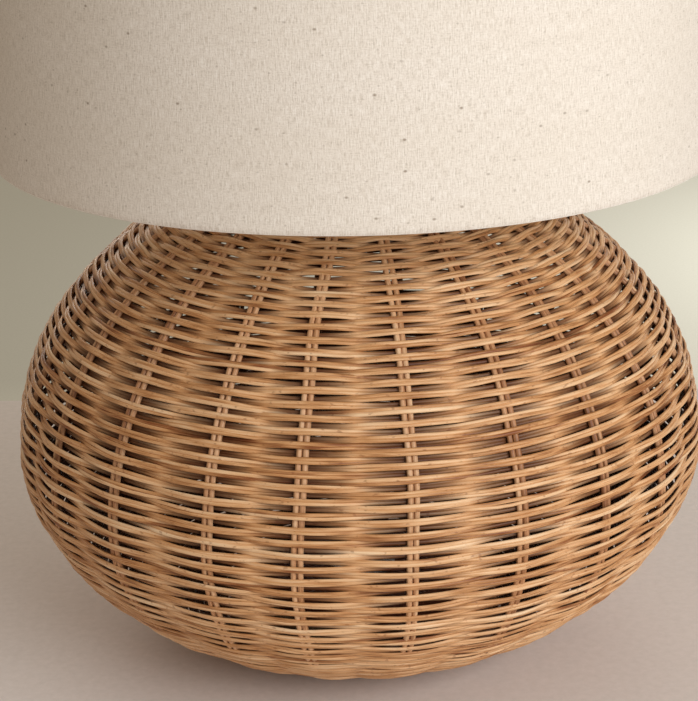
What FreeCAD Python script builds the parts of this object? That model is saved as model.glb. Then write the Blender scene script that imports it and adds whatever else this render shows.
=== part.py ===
"""Table lamp: a round woven base on a weighted board, with a harp, a bulb socket and a drum shade.

Millimetres, +Z up. The origin is on the surface that the lamp stands on, under the lamp's axis.
The front is towards -Y. Angles about the axis start at the front and grow towards +X.
"""

import FreeCAD, Part
import math
import os

Vector = FreeCAD.Vector
UP = Vector(0, 0, 1)
AXIS = Vector(0, 0, 0)

# Driving dimensions of the woven base
BODY_R = 175.5          # widest radius, over the strands
BELT_Z = 108.0          # height of the widest place
UPPER_H = 143.8         # height from the belt to the pole that the upper curve aims at
UPPER_POWER = 1.965     # 2 is an ellipse, less is more pointed
LOWER_H = 119.4         # the same below the belt
LOWER_POWER = 1.92
FOOT_WALL_R = 75.0      # where the wall starts beside the foot border
NECK_WALL_R = 44.0      # where the wall ends beside the top border
WALL_T = 3.2            # outer layer of strands
STAKE_PAIRS = 22
STAKE_R = 1.35
STAKE_DEPTH = 4.75       # stake centres under the outside of the weave
STAKE_SPACING = 2.85     # between the two rods of a pair
FIRST_STAKE_DEG = -24.6
BORDER_R = 4.5          # half the thickness of the rolled borders
FOOT_BORDER_R = 68.0
TOP_BORDER_R = 38.0
FOOT_GAP = 0.5          # the border clears the table, the felt carries the load

# Base board, weight and lamp pipe
FELT_R = 60.0
FELT_T = 2.0
BOARD_R = 58.0
BOARD_T = 12.0
WEIGHT_R = 50.0
WEIGHT_T = 14.0
WEIGHT_BEVEL = 2.0
RECESS_R = 20.0
RECESS_DEPTH = 8.0
CHANNEL_W = 8.0
PIPE_R = 4.95
PIPE_BORE_R = 3.5
PIPE_HOLE_R = 5.2
WASHER_R = 17.0
WASHER_T = 1.6
NUT_FLATS = 19.0
NUT_T = 4.0

# Cord bushing, at the back
BUSHING_Z = 48.0
BUSHING_R = 5.5
BUSHING_BORE_R = 4.0
BUSHING_FLANGE_R = 9.0
BUSHING_FLANGE_T = 2.0
BUSHING_LENGTH = 12.0

# Neck
CAP_R = 47.0
CAP_T = 1.5
CAP_RIM_Z = 249.5
CAP_TOP_Z = 260.0
CAP_TOP_R = 12.0
SPACER_R = 11.0
SPACER_H = 4.5

# Harp and its saddle
HARP_H = 203.0          # an 8 inch harp, saddle to boss
HARP_WIRE_R = 2.0
HARP_FOOT_X = 28.0
HARP_STRAIGHT = 18.0    # upright length above each foot, for the ferrule to slide on
HARP_WIDE_X = 57.0
HARP_WIDE_Z = 110.0     # above the saddle
SADDLE_W = 12.0
SADDLE_T = 1.6
SADDLE_BEND_R = 8.0
PRONG_H = 20.0          # top of the prongs above the saddle
FERRULE_R = 3.6
FERRULE_BORE_R = 2.3
FERRULE_H = 16.0
BOSS_R = 9.0
BOSS_H = 6.0
STUD_R = 3.175
STUD_H = 15.0

# Socket
SOCKET_R = 16.5
SOCKET_T = 0.6
SHELL_START = 9.5       # heights above the underside of the socket
SHELL_TOP = 63.5
LINER_TOP = 61.5
SCREW_SHELL_TOP = 62.0
SOCKET_CAP_H = 14.4
SOCKET_CAP_T = 0.7
COLLAR_R = 7.5
COLLAR_H = 4.0
SET_SCREW_R = 1.5
LINER_T = 0.5
CORE_START = 8.4
CORE_R = 13.6
CORE_H = 20.0
SCREW_SHELL_R = 13.85
SCREW_SHELL_T = 0.5
CONTACT_H = 2.7
TERMINAL_Z = 6.0        # screws above the bottom of the core
TERMINAL_HEAD_R = 2.8
TERMINAL_SHANK_R = 1.5
SWITCH_Z = 13.0         # switch axis above the bottom of the core
SWITCH_SHAFT_R = 2.2
KNOB_R = 5.6
KNOB_LENGTH = 14.0
KNOB_GAP = 3.0          # knob off the shell
KNOB_GROOVES = 8
KNOB_GROOVE_R = 1.3

# Bulb
BULB_R = 30.0
BULB_LENGTH = 113.0
BULB_BASE_R = 13.0
BULB_BASE_START = 6.0   # above the contact's underside
BULB_BASE_H = 25.0
BULB_CONTACT_R = 4.5
BULB_CONTACT_H = 1.5
BULB_GLASS_T = 1.0
THREAD_RIBS = 5
THREAD_PITCH = 3.6
FILAMENTS = 4
FILAMENT_R = 0.9
FILAMENT_H = 34.0

# Shade
SHADE_RIM_Z = 260.3
SHADE_H = 228.0
SHADE_BOTTOM_R = 178.5
SHADE_TOP_R = 165.5
CLOTH_T = 0.7
LINER_WALL_T = 1.0
HEM_H = 5.0
RING_R = 1.5
ARM_R = 1.6
ARM_KNEE = 38.0         # where an arm turns up, inside the ring
ARM_BEND_R = 40.0
SPIDER_ARMS = 3
WELD_GAP = 0.02         # between an arm's end and the ring, where the weld is
HUB_R = 13.0
HUB_T = 1.6
FINIAL_BALL_R = 9.5
FINIAL_BALL_Z = 21.0    # centre above the hub

# Heights that follow
NECK_Z = CAP_TOP_Z + SPACER_H                       # underside of the saddle
SADDLE_TOP_Z = NECK_Z + SADDLE_T
SOCKET_Z = SADDLE_TOP_Z + NUT_T                     # underside of the socket
CORE_Z = SOCKET_Z + CORE_START
CORE_TOP_Z = CORE_Z + CORE_H
BULB_Z = CORE_TOP_Z + CONTACT_H + 0.3               # underside of the bulb's contact
BULB_BASE_Z = BULB_Z + BULB_BASE_START
HARP_TOP_Z = NECK_Z + HARP_H
BOSS_TOP_Z = HARP_TOP_Z + 0.5 * BOSS_H
HUB_Z = BOSS_TOP_Z
FINIAL_Z = HUB_Z + HUB_T
SHADE_TOP_Z = SHADE_RIM_Z + SHADE_H


# ---- helpers ----

def disc(radius, bottom, top, inner=0.0):
    """A round plate or tube about the lamp's axis."""
    shape = Part.makeCylinder(radius, top - bottom, Vector(0, 0, bottom))
    if inner:
        shape = shape.cut(Part.makeCylinder(inner, top - bottom, Vector(0, 0, bottom)))
    return shape


def turned(edges):
    """The solid that a closed outline in the XZ plane makes when it turns about the axis."""
    face = Part.Face(Part.Wire(Part.__sortEdges__(edges)))
    return Part.Solid(face.revolve(AXIS, UP, 360))


def polyline(points):
    """Straight edges through (x, z) points."""
    corners = [Vector(x, 0, z) for x, z in points]
    return [Part.makeLine(a, b) for a, b in zip(corners, corners[1:])]


def turned_polygon(points):
    return turned(polyline(points + points[:1]))


def tangent_arcs(points, direction):
    """Arcs through (x, z) points, each one tangent to the last, starting in the given direction."""
    edges = []
    heading = Vector(direction[0], 0, direction[1]).normalize()
    for (x0, z0), (x1, z1) in zip(points, points[1:]):
        start = Vector(x0, 0, z0)
        end = Vector(x1, 0, z1)
        chord = end - start
        half_turn = math.atan2(heading.cross(chord).y, heading.dot(chord))
        side = Vector(0, 1, 0).cross(chord).normalize()
        middle = start + chord * 0.5 - side * (chord.Length * 0.5 * math.tan(half_turn * 0.5))
        edges.append(Part.Arc(start, middle, end).toShape())
        heading = turn_in_plane(heading, 2 * half_turn)
    return edges


def turn_in_plane(vector, angle):
    """Turns a vector of the XZ plane about +Y."""
    return FreeCAD.Rotation(Vector(0, 1, 0), math.degrees(angle)).multVec(vector)


def rod(edges, radius):
    """A round rod whose centre line is a smooth chain of edges."""
    path = Part.Wire(edges)
    first = edges[0]
    start = first.valueAt(first.FirstParameter)
    heading = first.tangentAt(first.FirstParameter)
    circle = Part.Wire(Part.makeCircle(radius, start, heading))
    return path.makePipeShell([circle], True, False)


def around(shape, degrees):
    """A copy turned about the lamp's axis, anticlockwise from above."""
    copy = shape.copy()
    copy.rotate(AXIS, UP, degrees)
    return copy


def mirrored(shape):
    return shape.mirror(AXIS, Vector(1, 0, 0))


def save(name, *solids):
    shape = solids[0] if len(solids) == 1 else Part.makeCompound(solids)
    shape.exportStep(f"parts/{name}.step")
    print(name, round(shape.Volume, 1), shape.isValid())


# ---- outline of the woven base ----

def outline_height(radius, above):
    """Height of the outside of the weave at a radius, above or below the belt."""
    reach, power = (UPPER_H, UPPER_POWER) if above else (-LOWER_H, LOWER_POWER)
    return BELT_Z + reach * (1 - (radius / BODY_R) ** power) ** (1 / power)


def outline_radius(height):
    """Radius of the outside of the weave at a height."""
    rise = height - BELT_Z
    reach, power = (UPPER_H, UPPER_POWER) if rise > 0 else (LOWER_H, LOWER_POWER)
    return BODY_R * (1 - abs(rise / reach) ** power) ** (1 / power)


def outline_normal(radius, height):
    """Outward direction of the weave there, as (radial, upward)."""
    rise = height - BELT_Z
    reach, power = (UPPER_H, UPPER_POWER) if rise > 0 else (LOWER_H, LOWER_POWER)
    out = (radius / BODY_R) ** (power - 1) / BODY_R
    up = math.copysign(abs(rise / reach) ** (power - 1) / reach, rise)
    return Vector(out, 0, up).normalize()


def wall_points(depth):
    """Points along the wall from the foot to the neck, at a depth under its outside."""
    lower = [FOOT_WALL_R, 105.0, 135.0, 157.0, 170.0]
    upper = [170.0, 155.0, 130.0, 100.0, 70.0, NECK_WALL_R]
    outside = [(r, outline_height(r, False)) for r in lower]
    outside += [(BODY_R, BELT_Z)]
    outside += [(r, outline_height(r, True)) for r in upper]
    inside = []
    for radius, height in outside:
        normal = outline_normal(radius, height)
        inside.append((radius - depth * normal.x, height - depth * normal.z))
    return inside


def wall_line(depth):
    """Smooth meridian of the wall at a depth, from the foot to the neck."""
    start = outline_normal(FOOT_WALL_R, outline_height(FOOT_WALL_R, False))
    return tangent_arcs(wall_points(depth), (-start.z, start.x))


# ---- woven base ----

def woven_wall():
    outer = wall_line(0)
    inner = wall_line(WALL_T)
    outside = wall_points(0)
    inside = wall_points(WALL_T)
    ends = polyline([outside[0], inside[0]]) + polyline([outside[-1], inside[-1]])
    wall = turned(outer + inner + ends)
    return wall.cut(bushing_blank(BUSHING_R + 0.1))


def stakes():
    """Pairs of upright rods just inside the outer strands."""
    upright = rod(wall_line(STAKE_DEPTH), STAKE_R)
    rods = []
    for pair in range(STAKE_PAIRS):
        turn = FIRST_STAKE_DEG + pair * 360 / STAKE_PAIRS - 90
        for side in (-0.5, 0.5):
            beside = upright.translated(Vector(0, side * STAKE_SPACING, 0))
            rods.append(around(beside, turn))
    return rods


def foot_border():
    return Part.makeTorus(FOOT_BORDER_R, BORDER_R, Vector(0, 0, FOOT_GAP + BORDER_R), UP)


def top_border():
    height = outline_height(TOP_BORDER_R, True) - BORDER_R
    return Part.makeTorus(TOP_BORDER_R, BORDER_R, Vector(0, 0, height), UP)


# ---- cord bushing ----

def bushing_seat():
    """Middle of the bushing on the back of the wall, and the way that its mouth faces."""
    radius = outline_radius(BUSHING_Z)
    normal = outline_normal(radius, BUSHING_Z)
    return Vector(0, radius, BUSHING_Z), Vector(0, normal.x, normal.z)


def bushing_blank(radius):
    seat, out = bushing_seat()
    return Part.makeCylinder(radius, 2 * BUSHING_LENGTH, seat - out * BUSHING_LENGTH, out)


def cord_bushing():
    seat, out = bushing_seat()
    barrel = Part.makeCylinder(BUSHING_R, BUSHING_LENGTH, seat - out * (BUSHING_LENGTH - 1), out)
    flange = Part.makeCylinder(BUSHING_FLANGE_R, BUSHING_FLANGE_T, seat + out * 0.6, out)
    return barrel.fuse(flange).cut(bushing_blank(BUSHING_BORE_R)).removeSplitter()


# ---- board, weight and lamp pipe ----

def felt_pad():
    return disc(FELT_R, 0, FELT_T)


def base_board():
    """Round board with a recess under it for the nut, and a channel to the back for a cord."""
    board = disc(BOARD_R, FELT_T, FELT_T + BOARD_T, PIPE_HOLE_R)
    recess = disc(RECESS_R, FELT_T, FELT_T + RECESS_DEPTH)
    channel = Part.makeBox(CHANNEL_W, BOARD_R, CHANNEL_W, Vector(-0.5 * CHANNEL_W, 0, FELT_T))
    return board.cut(recess).cut(channel)


def base_weight():
    """Cast disc on the board, its top edge bevelled."""
    bottom = FELT_T + BOARD_T
    top = bottom + WEIGHT_T
    return turned_polygon([(PIPE_HOLE_R, bottom), (WEIGHT_R, bottom), (WEIGHT_R, top - WEIGHT_BEVEL),
                           (WEIGHT_R - WEIGHT_BEVEL, top), (PIPE_HOLE_R, top)])


def point_around(radius, height, degrees):
    """The point at a radius and a height, with angles counted from the front towards +X."""
    angle = math.radians(degrees)
    return Vector(radius * math.sin(angle), -radius * math.cos(angle), height)


def hex_nut(bottom):
    nut = Part.makePolygon([point_around(NUT_FLATS / math.sqrt(3), bottom, 60 * k) for k in range(7)])
    blank = Part.Face(nut).extrude(Vector(0, 0, NUT_T))
    return blank.cut(disc(PIPE_R, bottom, bottom + NUT_T))


def lock_nuts():
    under_board = FELT_T + RECESS_DEPTH - WASHER_T - NUT_T
    on_weight = FELT_T + BOARD_T + WEIGHT_T + WASHER_T
    return [hex_nut(z) for z in (under_board, on_weight, SADDLE_TOP_Z)]


def pipe_washers():
    under_board = FELT_T + RECESS_DEPTH - WASHER_T
    on_weight = FELT_T + BOARD_T + WEIGHT_T
    return [disc(WASHER_R, z, z + WASHER_T, PIPE_HOLE_R) for z in (under_board, on_weight)]


def lamp_pipe():
    return disc(PIPE_R, FELT_T + 1, CORE_Z - 1, PIPE_BORE_R)


# ---- neck ----

def vase_cap():
    """A shallow spun dome that covers the top border."""
    rim, shoulder = (CAP_R, CAP_RIM_Z), (CAP_TOP_R, CAP_TOP_Z)
    outer = tangent_arcs([shoulder, rim], (1, -0.05))
    inner = tangent_arcs([(CAP_TOP_R, CAP_TOP_Z - CAP_T), (CAP_R - CAP_T, CAP_RIM_Z)], (1, -0.05))
    top = polyline([(PIPE_HOLE_R, CAP_TOP_Z - CAP_T), (PIPE_HOLE_R, CAP_TOP_Z), shoulder])
    bottom = polyline([(CAP_TOP_R, CAP_TOP_Z - CAP_T), (PIPE_HOLE_R, CAP_TOP_Z - CAP_T)])
    edge = polyline([rim, (CAP_R - CAP_T, CAP_RIM_Z)])
    return turned(outer + inner + top + bottom + edge)


def neck_spacer():
    """A short turned collar with a groove round its middle."""
    top = CAP_TOP_Z + SPACER_H
    spacer = disc(SPACER_R, CAP_TOP_Z, top, PIPE_HOLE_R)
    groove = Part.makeTorus(SPACER_R + 0.4, 1.2, Vector(0, 0, 0.5 * (CAP_TOP_Z + top)), UP)
    return spacer.cut(groove)


def harp_saddle():
    """A flat strip under the socket, bent up at both ends into round prongs that carry the harp."""
    bottom, top = NECK_Z, SADDLE_TOP_Z
    bend = HARP_FOOT_X + 0.5 * SADDLE_T - SADDLE_BEND_R
    post_z = bottom + SADDLE_BEND_R
    outer = [(0, bottom), (bend, bottom)]
    inner = [(bend, top), (0, top)]
    lift = SADDLE_BEND_R * (1 - math.sqrt(0.5))
    outside = Part.Arc(Vector(bend, 0, bottom),
                       Vector(bend + SADDLE_BEND_R - lift, 0, bottom + lift),
                       Vector(bend + SADDLE_BEND_R, 0, post_z)).toShape()
    tight = SADDLE_BEND_R - SADDLE_T
    lift = tight * (1 - math.sqrt(0.5))
    inside = Part.Arc(Vector(bend + tight, 0, post_z),
                      Vector(bend + tight - lift, 0, top + lift),
                      Vector(bend, 0, top)).toShape()
    end = polyline([(bend + SADDLE_BEND_R, post_z), (bend + tight, post_z)])
    edges = polyline(outer) + [outside] + end + [inside] + polyline(inner) + polyline([(0, top), (0, bottom)])
    half = Part.Face(Part.Wire(Part.__sortEdges__(edges))).extrude(Vector(0, SADDLE_W, 0))
    half.translate(Vector(0, -0.5 * SADDLE_W, 0))
    prong = Part.makeCylinder(HARP_WIRE_R, PRONG_H - SADDLE_BEND_R, Vector(HARP_FOOT_X, 0, post_z))
    half = half.fuse(prong)
    both = half.fuse(mirrored(half)).removeSplitter()
    return both.cut(disc(PIPE_HOLE_R, bottom - 1, top + 1))


# ---- harp ----

def harp_line():
    """Centre line of the right half of the harp, from its foot up and over to the boss."""
    foot = (HARP_FOOT_X, NECK_Z + PRONG_H)
    bend = (HARP_FOOT_X, NECK_Z + PRONG_H + HARP_STRAIGHT)
    wide = (HARP_WIDE_X, NECK_Z + HARP_WIDE_Z)
    between = (0.5 * (bend[0] + wide[0]), 0.5 * (bend[1] + wide[1]))
    rise = HARP_TOP_Z - wide[1]
    top = [(HARP_WIDE_X * math.cos(a), wide[1] + rise * math.sin(a)) for a in (math.pi / 6, math.pi / 3)]
    line = polyline([foot, bend])
    line += tangent_arcs([bend, between, wide], (0, 1))
    line += tangent_arcs([wide, *top, (0, HARP_TOP_Z)], (0, 1))
    return line


def harp_wire():
    half = rod(harp_line(), HARP_WIRE_R)
    return half.fuse(mirrored(half)).removeSplitter()


def harp_boss(wire):
    return disc(BOSS_R, HARP_TOP_Z - 0.5 * BOSS_H, BOSS_TOP_Z).cut(wire)


def finial_stud():
    return disc(STUD_R, BOSS_TOP_Z, BOSS_TOP_Z + STUD_H)


def ferrule(side):
    """A sleeve over the joint between a prong and the harp's foot, with a rolled bead at each end."""
    middle = NECK_Z + PRONG_H
    bottom, top = middle - 0.5 * FERRULE_H, middle + 0.5 * FERRULE_H
    foot = Vector(side * HARP_FOOT_X, 0, bottom)
    sleeve = Part.makeCylinder(FERRULE_R, FERRULE_H, foot)
    for height in (bottom + 0.8, top - 0.8):
        sleeve = sleeve.fuse(Part.makeTorus(FERRULE_R, 0.6, Vector(side * HARP_FOOT_X, 0, height), UP))
    return sleeve.cut(Part.makeCylinder(FERRULE_BORE_R, FERRULE_H, foot))


# ---- socket ----

def switch_bore(radius):
    """A hole from the lamp's axis out through the front of the socket, round the switch's axis."""
    return Part.makeCylinder(radius, 2 * SOCKET_R, Vector(0, 0, CORE_Z + SWITCH_Z), Vector(0, -1, 0))


def socket_cap():
    """The cup under the socket, with the collar that screws on the pipe."""
    narrow = SOCKET_R + 0.1
    wide = narrow + SOCKET_CAP_T
    collar_top = SOCKET_Z + COLLAR_H
    floor = collar_top + SOCKET_CAP_T
    dome_top = collar_top + 5
    brim = SOCKET_Z + SOCKET_CAP_H
    edges = polyline([(COLLAR_R, floor), (PIPE_R, floor), (PIPE_R, SOCKET_Z), (COLLAR_R, SOCKET_Z),
                      (COLLAR_R, collar_top)])
    edges += tangent_arcs([(COLLAR_R, collar_top), (wide, dome_top)], (1, 0.05))
    edges += polyline([(wide, dome_top), (wide, brim), (narrow, brim), (narrow, dome_top)])
    edges += tangent_arcs([(COLLAR_R, floor), (narrow, dome_top)], (1, 0.05))
    return turned(edges).cut(set_screw(SET_SCREW_R + 0.1))


def set_screw(radius):
    start = Vector(0, PIPE_R + 0.2, SOCKET_Z + 0.5 * COLLAR_H)
    return Part.makeCylinder(radius, COLLAR_R - PIPE_R + 1.5, start, Vector(0, 1, 0))


def socket_shell():
    shell = disc(SOCKET_R, SOCKET_Z + SHELL_START, SOCKET_Z + SHELL_TOP, SOCKET_R - SOCKET_T)
    return shell.cut(switch_bore(SWITCH_SHAFT_R + 0.6))


def socket_liner():
    """The insulating sleeve inside the shell."""
    outer = SOCKET_R - SOCKET_T - 0.2
    liner = disc(outer, SOCKET_Z + SHELL_START, SOCKET_Z + LINER_TOP, outer - LINER_T)
    return liner.cut(switch_bore(SWITCH_SHAFT_R + 0.6))


def terminal_screw(side, room=0.0):
    """A binding screw in the side of the core, its head in a pocket that leaves some room round it."""
    height = CORE_Z + TERMINAL_Z
    out = Vector(side, 0, 0)
    shank = Part.makeCylinder(TERMINAL_SHANK_R + 0.4 * room, 6, Vector(6 * side, 0, height), out)
    head = Part.makeCylinder(TERMINAL_HEAD_R + room, 2 + room, Vector((11.4 - room) * side, 0, height), out)
    return shank.fuse(head)


def socket_core():
    """The moulded block that carries the terminals, the switch and the screw shell."""
    core = disc(CORE_R, CORE_Z, CORE_TOP_Z)
    core = core.cut(switch_bore(SWITCH_SHAFT_R + 0.3)).cut(disc(PIPE_R + 0.5, CORE_Z, CORE_Z + 2))
    for side in (-1, 1):
        core = core.cut(terminal_screw(side, 0.3))
    return core


def screw_shell():
    """The metal cup that the bulb screws into, with an eyelet in its floor."""
    wall = disc(SCREW_SHELL_R, CORE_TOP_Z, SOCKET_Z + SCREW_SHELL_TOP, SCREW_SHELL_R - SCREW_SHELL_T)
    return wall.fuse(disc(SCREW_SHELL_R, CORE_TOP_Z, CORE_TOP_Z + SCREW_SHELL_T, 7.0)).removeSplitter()


def centre_contact():
    """A brass tongue that springs up under the bulb."""
    points = [(-5, 0), (5, 0), (5, 0.5), (1, 0.5), (4, 2.4), (3.5, CONTACT_H), (-3.5, CONTACT_H), (-5, 0.5)]
    corners = [Vector(x, -2, CORE_TOP_Z + z) for x, z in points]
    return Part.Face(Part.makePolygon(corners + corners[:1])).extrude(Vector(0, 4, 0))


def switch_shaft():
    return switch_rod(SWITCH_SHAFT_R, 1.0, SOCKET_R + KNOB_GAP)


def switch_rod(radius, start, end):
    """A cylinder about the switch's axis, between two distances in front of the lamp's axis."""
    return Part.makeCylinder(radius, end - start, Vector(0, -start, CORE_Z + SWITCH_Z), Vector(0, -1, 0))


def switch_knob():
    """A round knob with a bevelled end and finger grooves along it."""
    start = SOCKET_R + KNOB_GAP
    end = start + KNOB_LENGTH
    tip = Part.makeCone(KNOB_R, KNOB_R - 1.2, 1.2, Vector(0, 1.2 - end, CORE_Z + SWITCH_Z), Vector(0, -1, 0))
    knob = switch_rod(KNOB_R, start, end - 1.2).fuse(tip)
    for k in range(KNOB_GROOVES):
        angle = 2 * math.pi * k / KNOB_GROOVES
        place = Vector(math.cos(angle), 0, math.sin(angle)) * (KNOB_R + 0.5 * KNOB_GROOVE_R)
        place += Vector(0, -start - 3, CORE_Z + SWITCH_Z)
        knob = knob.cut(Part.makeCylinder(KNOB_GROOVE_R, KNOB_LENGTH, place, Vector(0, -1, 0)))
    return knob


# ---- bulb ----

def bulb_outline(inset):
    """Half of the envelope's outline, a ball and a flare to the neck, with the points at both its ends."""
    crown = BULB_Z + BULB_LENGTH
    belt = crown - BULB_R
    ball = BULB_R - inset
    lean = math.radians(40)
    leave = (ball * math.cos(lean), belt - ball * math.sin(lean))
    neck = (BULB_BASE_R - 0.3 - inset, BULB_BASE_Z + BULB_BASE_H)
    top = (0, crown - inset)
    cap = Part.Arc(Vector(leave[0], 0, leave[1]), Vector(0.8 * ball, 0, belt + 0.6 * ball),
                   Vector(top[0], 0, top[1])).toShape()
    flare = tangent_arcs([leave, neck], (-math.sin(lean), -math.cos(lean)))
    return [cap] + flare, neck, top


def bulb_glass():
    outer, neck, top = bulb_outline(0)
    inner, inner_neck, inner_top = bulb_outline(BULB_GLASS_T)
    return turned(outer + inner + polyline([neck, inner_neck]) + polyline([top, inner_top]))


def bulb_base():
    """The screw base, with its rolled thread as rounded ribs."""
    bottom, top = BULB_BASE_Z, BULB_BASE_Z + BULB_BASE_H
    bore = BULB_BASE_R - 1.3
    base = disc(BULB_BASE_R - 0.8, bottom, top)
    for k in range(THREAD_RIBS):
        rib_z = bottom + 3 + THREAD_PITCH * k
        base = base.fuse(Part.makeTorus(BULB_BASE_R - 1, 1, Vector(0, 0, rib_z), UP))
    return base.cut(disc(bore, bottom, top))


def base_insulator():
    low, high = BULB_Z + BULB_CONTACT_H, BULB_BASE_Z
    return turned_polygon([(0, low), (BULB_CONTACT_R + 1, low), (BULB_BASE_R - 1.4, high), (0, high)])


def bulb_contact():
    return disc(BULB_CONTACT_R, BULB_Z, BULB_Z + BULB_CONTACT_H)


def bulb_stem():
    """Glass foot and post that hold the filaments."""
    bottom = BULB_BASE_Z
    return turned_polygon([(0, bottom), (6, bottom), (6, bottom + 14), (2, bottom + 26), (2, bottom + 62),
                           (0, bottom + 63)])


def filaments():
    """Straight glowing rods round the post, closer together at the top."""
    bottom = BULB_BASE_Z + FILAMENT_H
    rods = []
    for k in range(FILAMENTS):
        turn = 360 * (k + 0.5) / FILAMENTS
        foot = point_around(10, bottom, turn)
        head = point_around(5, bottom + FILAMENT_H, turn)
        rods.append(Part.makeCylinder(FILAMENT_R, (head - foot).Length, foot, head - foot))
    return rods


# ---- shade ----

def shade_radius(height):
    """Outside radius of the shade's cloth at a height."""
    share = (height - SHADE_RIM_Z) / SHADE_H
    return SHADE_BOTTOM_R + (SHADE_TOP_R - SHADE_BOTTOM_R) * share


def inside_shade(depth, height):
    """The (radius, height) point at a depth under the shade's outside."""
    return shade_radius(height) - depth, height


def shade_fabric(arms):
    """Cloth over the liner, turned in round both rings, and let in where the spider's arms pass."""
    low, high = SHADE_RIM_Z, SHADE_TOP_Z
    skin = CLOTH_T
    turn_in = CLOTH_T + LINER_WALL_T + 2 * RING_R + 0.1
    cloth = turned_polygon([
        inside_shade(0, low), inside_shade(0, high),
        inside_shade(turn_in + skin, high), inside_shade(turn_in + skin, high - HEM_H),
        inside_shade(turn_in, high - HEM_H), inside_shade(turn_in, high - skin),
        inside_shade(skin, high - skin), inside_shade(skin, low + skin),
        inside_shade(turn_in, low + skin), inside_shade(turn_in, low + HEM_H),
        inside_shade(turn_in + skin, low + HEM_H), inside_shade(turn_in + skin, low),
    ])
    for arm in arms:
        cloth = cloth.cut(arm)
    return cloth


def shade_liner():
    """The stiff sheet behind the cloth."""
    low, high = SHADE_RIM_Z + CLOTH_T, SHADE_TOP_Z - CLOTH_T
    back = CLOTH_T + LINER_WALL_T
    return turned_polygon([inside_shade(CLOTH_T, low), inside_shade(CLOTH_T, high),
                           inside_shade(back, high), inside_shade(back, low)])


def ring_centre(height):
    return shade_radius(height) - CLOTH_T - LINER_WALL_T - RING_R - 0.05


def shade_ring(height):
    return Part.makeTorus(ring_centre(height), RING_R, Vector(0, 0, height), UP)


def spider_arms(ring_z):
    """Wires from the hub out and up to the top ring."""
    ring = Vector(ring_centre(ring_z), 0, ring_z)
    knee = Vector(ring.x - ARM_KNEE, 0, HUB_Z + 0.5 * HUB_T)
    slope = (ring - knee).normalize()
    setback = ARM_BEND_R * math.tan(0.5 * math.atan2(slope.z, slope.x))
    bend_start = (knee.x - setback, knee.z)
    bend_end = (knee.x + setback * slope.x, knee.z + setback * slope.z)
    end = ring - slope * (RING_R + WELD_GAP)
    path = polyline([(HUB_R - 0.5, knee.z), bend_start])
    path += tangent_arcs([bend_start, bend_end], (1, 0))
    path += polyline([bend_end, (end.x, end.z)])
    arm = rod(path, ARM_R)
    return [around(arm, 90 + 360 * k / SPIDER_ARMS) for k in range(SPIDER_ARMS)]


def spider_hub(arms):
    hub = disc(HUB_R, HUB_Z, HUB_Z + HUB_T, STUD_R + 0.35)
    for arm in arms:
        hub = hub.cut(arm)
    return hub


def finial():
    """A turned ball on a flared foot, bored for the stud."""
    neck = [(8.0, FINIAL_Z), (8.0, FINIAL_Z + 2.0), (5.6, FINIAL_Z + 4.5), (5.0, FINIAL_Z + 9.0),
            (6.2, FINIAL_Z + 12.0), (6.2, FINIAL_Z + 14.0), (0, FINIAL_Z + 14.0), (0, FINIAL_Z)]
    body = turned_polygon(neck).fuse(Part.makeSphere(FINIAL_BALL_R, Vector(0, 0, FINIAL_Z + FINIAL_BALL_Z)))
    return body.cut(disc(STUD_R + 0.08, FINIAL_Z, FINIAL_Z + STUD_H - 0.5)).removeSplitter()


def main():
    os.makedirs("parts", exist_ok=True)
    save("felt_pad", felt_pad())
    save("base_board", base_board())
    save("base_weight", base_weight())
    save("lock_nuts", *lock_nuts())
    save("pipe_washers", *pipe_washers())
    save("lamp_pipe", lamp_pipe())
    save("foot_border", foot_border())
    save("woven_wall", woven_wall())
    save("stakes", *stakes())
    save("top_border", top_border())
    save("cord_bushing", cord_bushing())
    save("vase_cap", vase_cap())
    save("neck_spacer", neck_spacer())
    save("harp_saddle", harp_saddle())

    save("socket_cap", socket_cap())
    save("cap_set_screw", set_screw(SET_SCREW_R))
    save("socket_shell", socket_shell())
    save("socket_liner", socket_liner())
    save("socket_core", socket_core())
    save("screw_shell", screw_shell())
    save("centre_contact", centre_contact())
    save("terminal_screws", terminal_screw(-1), terminal_screw(1))
    save("switch_shaft", switch_shaft())
    save("switch_knob", switch_knob())

    wire = harp_wire()
    save("harp_wire", wire)
    save("harp_boss", harp_boss(wire))
    save("finial_stud", finial_stud())
    save("ferrule_left", ferrule(-1))
    save("ferrule_right", ferrule(1))

    save("bulb_glass", bulb_glass())
    save("bulb_base", bulb_base())
    save("base_insulator", base_insulator())
    save("bulb_contact", bulb_contact())
    save("bulb_stem", bulb_stem())
    save("filaments", *filaments())

    bottom_ring_z = SHADE_RIM_Z + CLOTH_T + RING_R + 0.1
    top_ring_z = SHADE_TOP_Z - CLOTH_T - RING_R - 0.1
    arms = spider_arms(top_ring_z)
    save("shade_fabric", shade_fabric(arms))
    save("shade_liner", shade_liner())
    save("bottom_ring", shade_ring(bottom_ring_z))
    save("top_ring", shade_ring(top_ring_z))
    save("spider_arms", *arms)
    save("spider_hub", spider_hub(arms))
    save("finial", finial())


main()
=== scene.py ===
"""The woven table lamp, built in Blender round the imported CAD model.

Metres, +Z up, front towards -Y. Angles about the lamp's axis start at the front and grow towards +X.
The woven wall, its stakes and borders, the shade cloth and the felt are made here. The other parts
are the CAD nodes, with finishes.
"""

import math

import bpy
import numpy as np
from mathutils import Matrix, Vector


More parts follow.
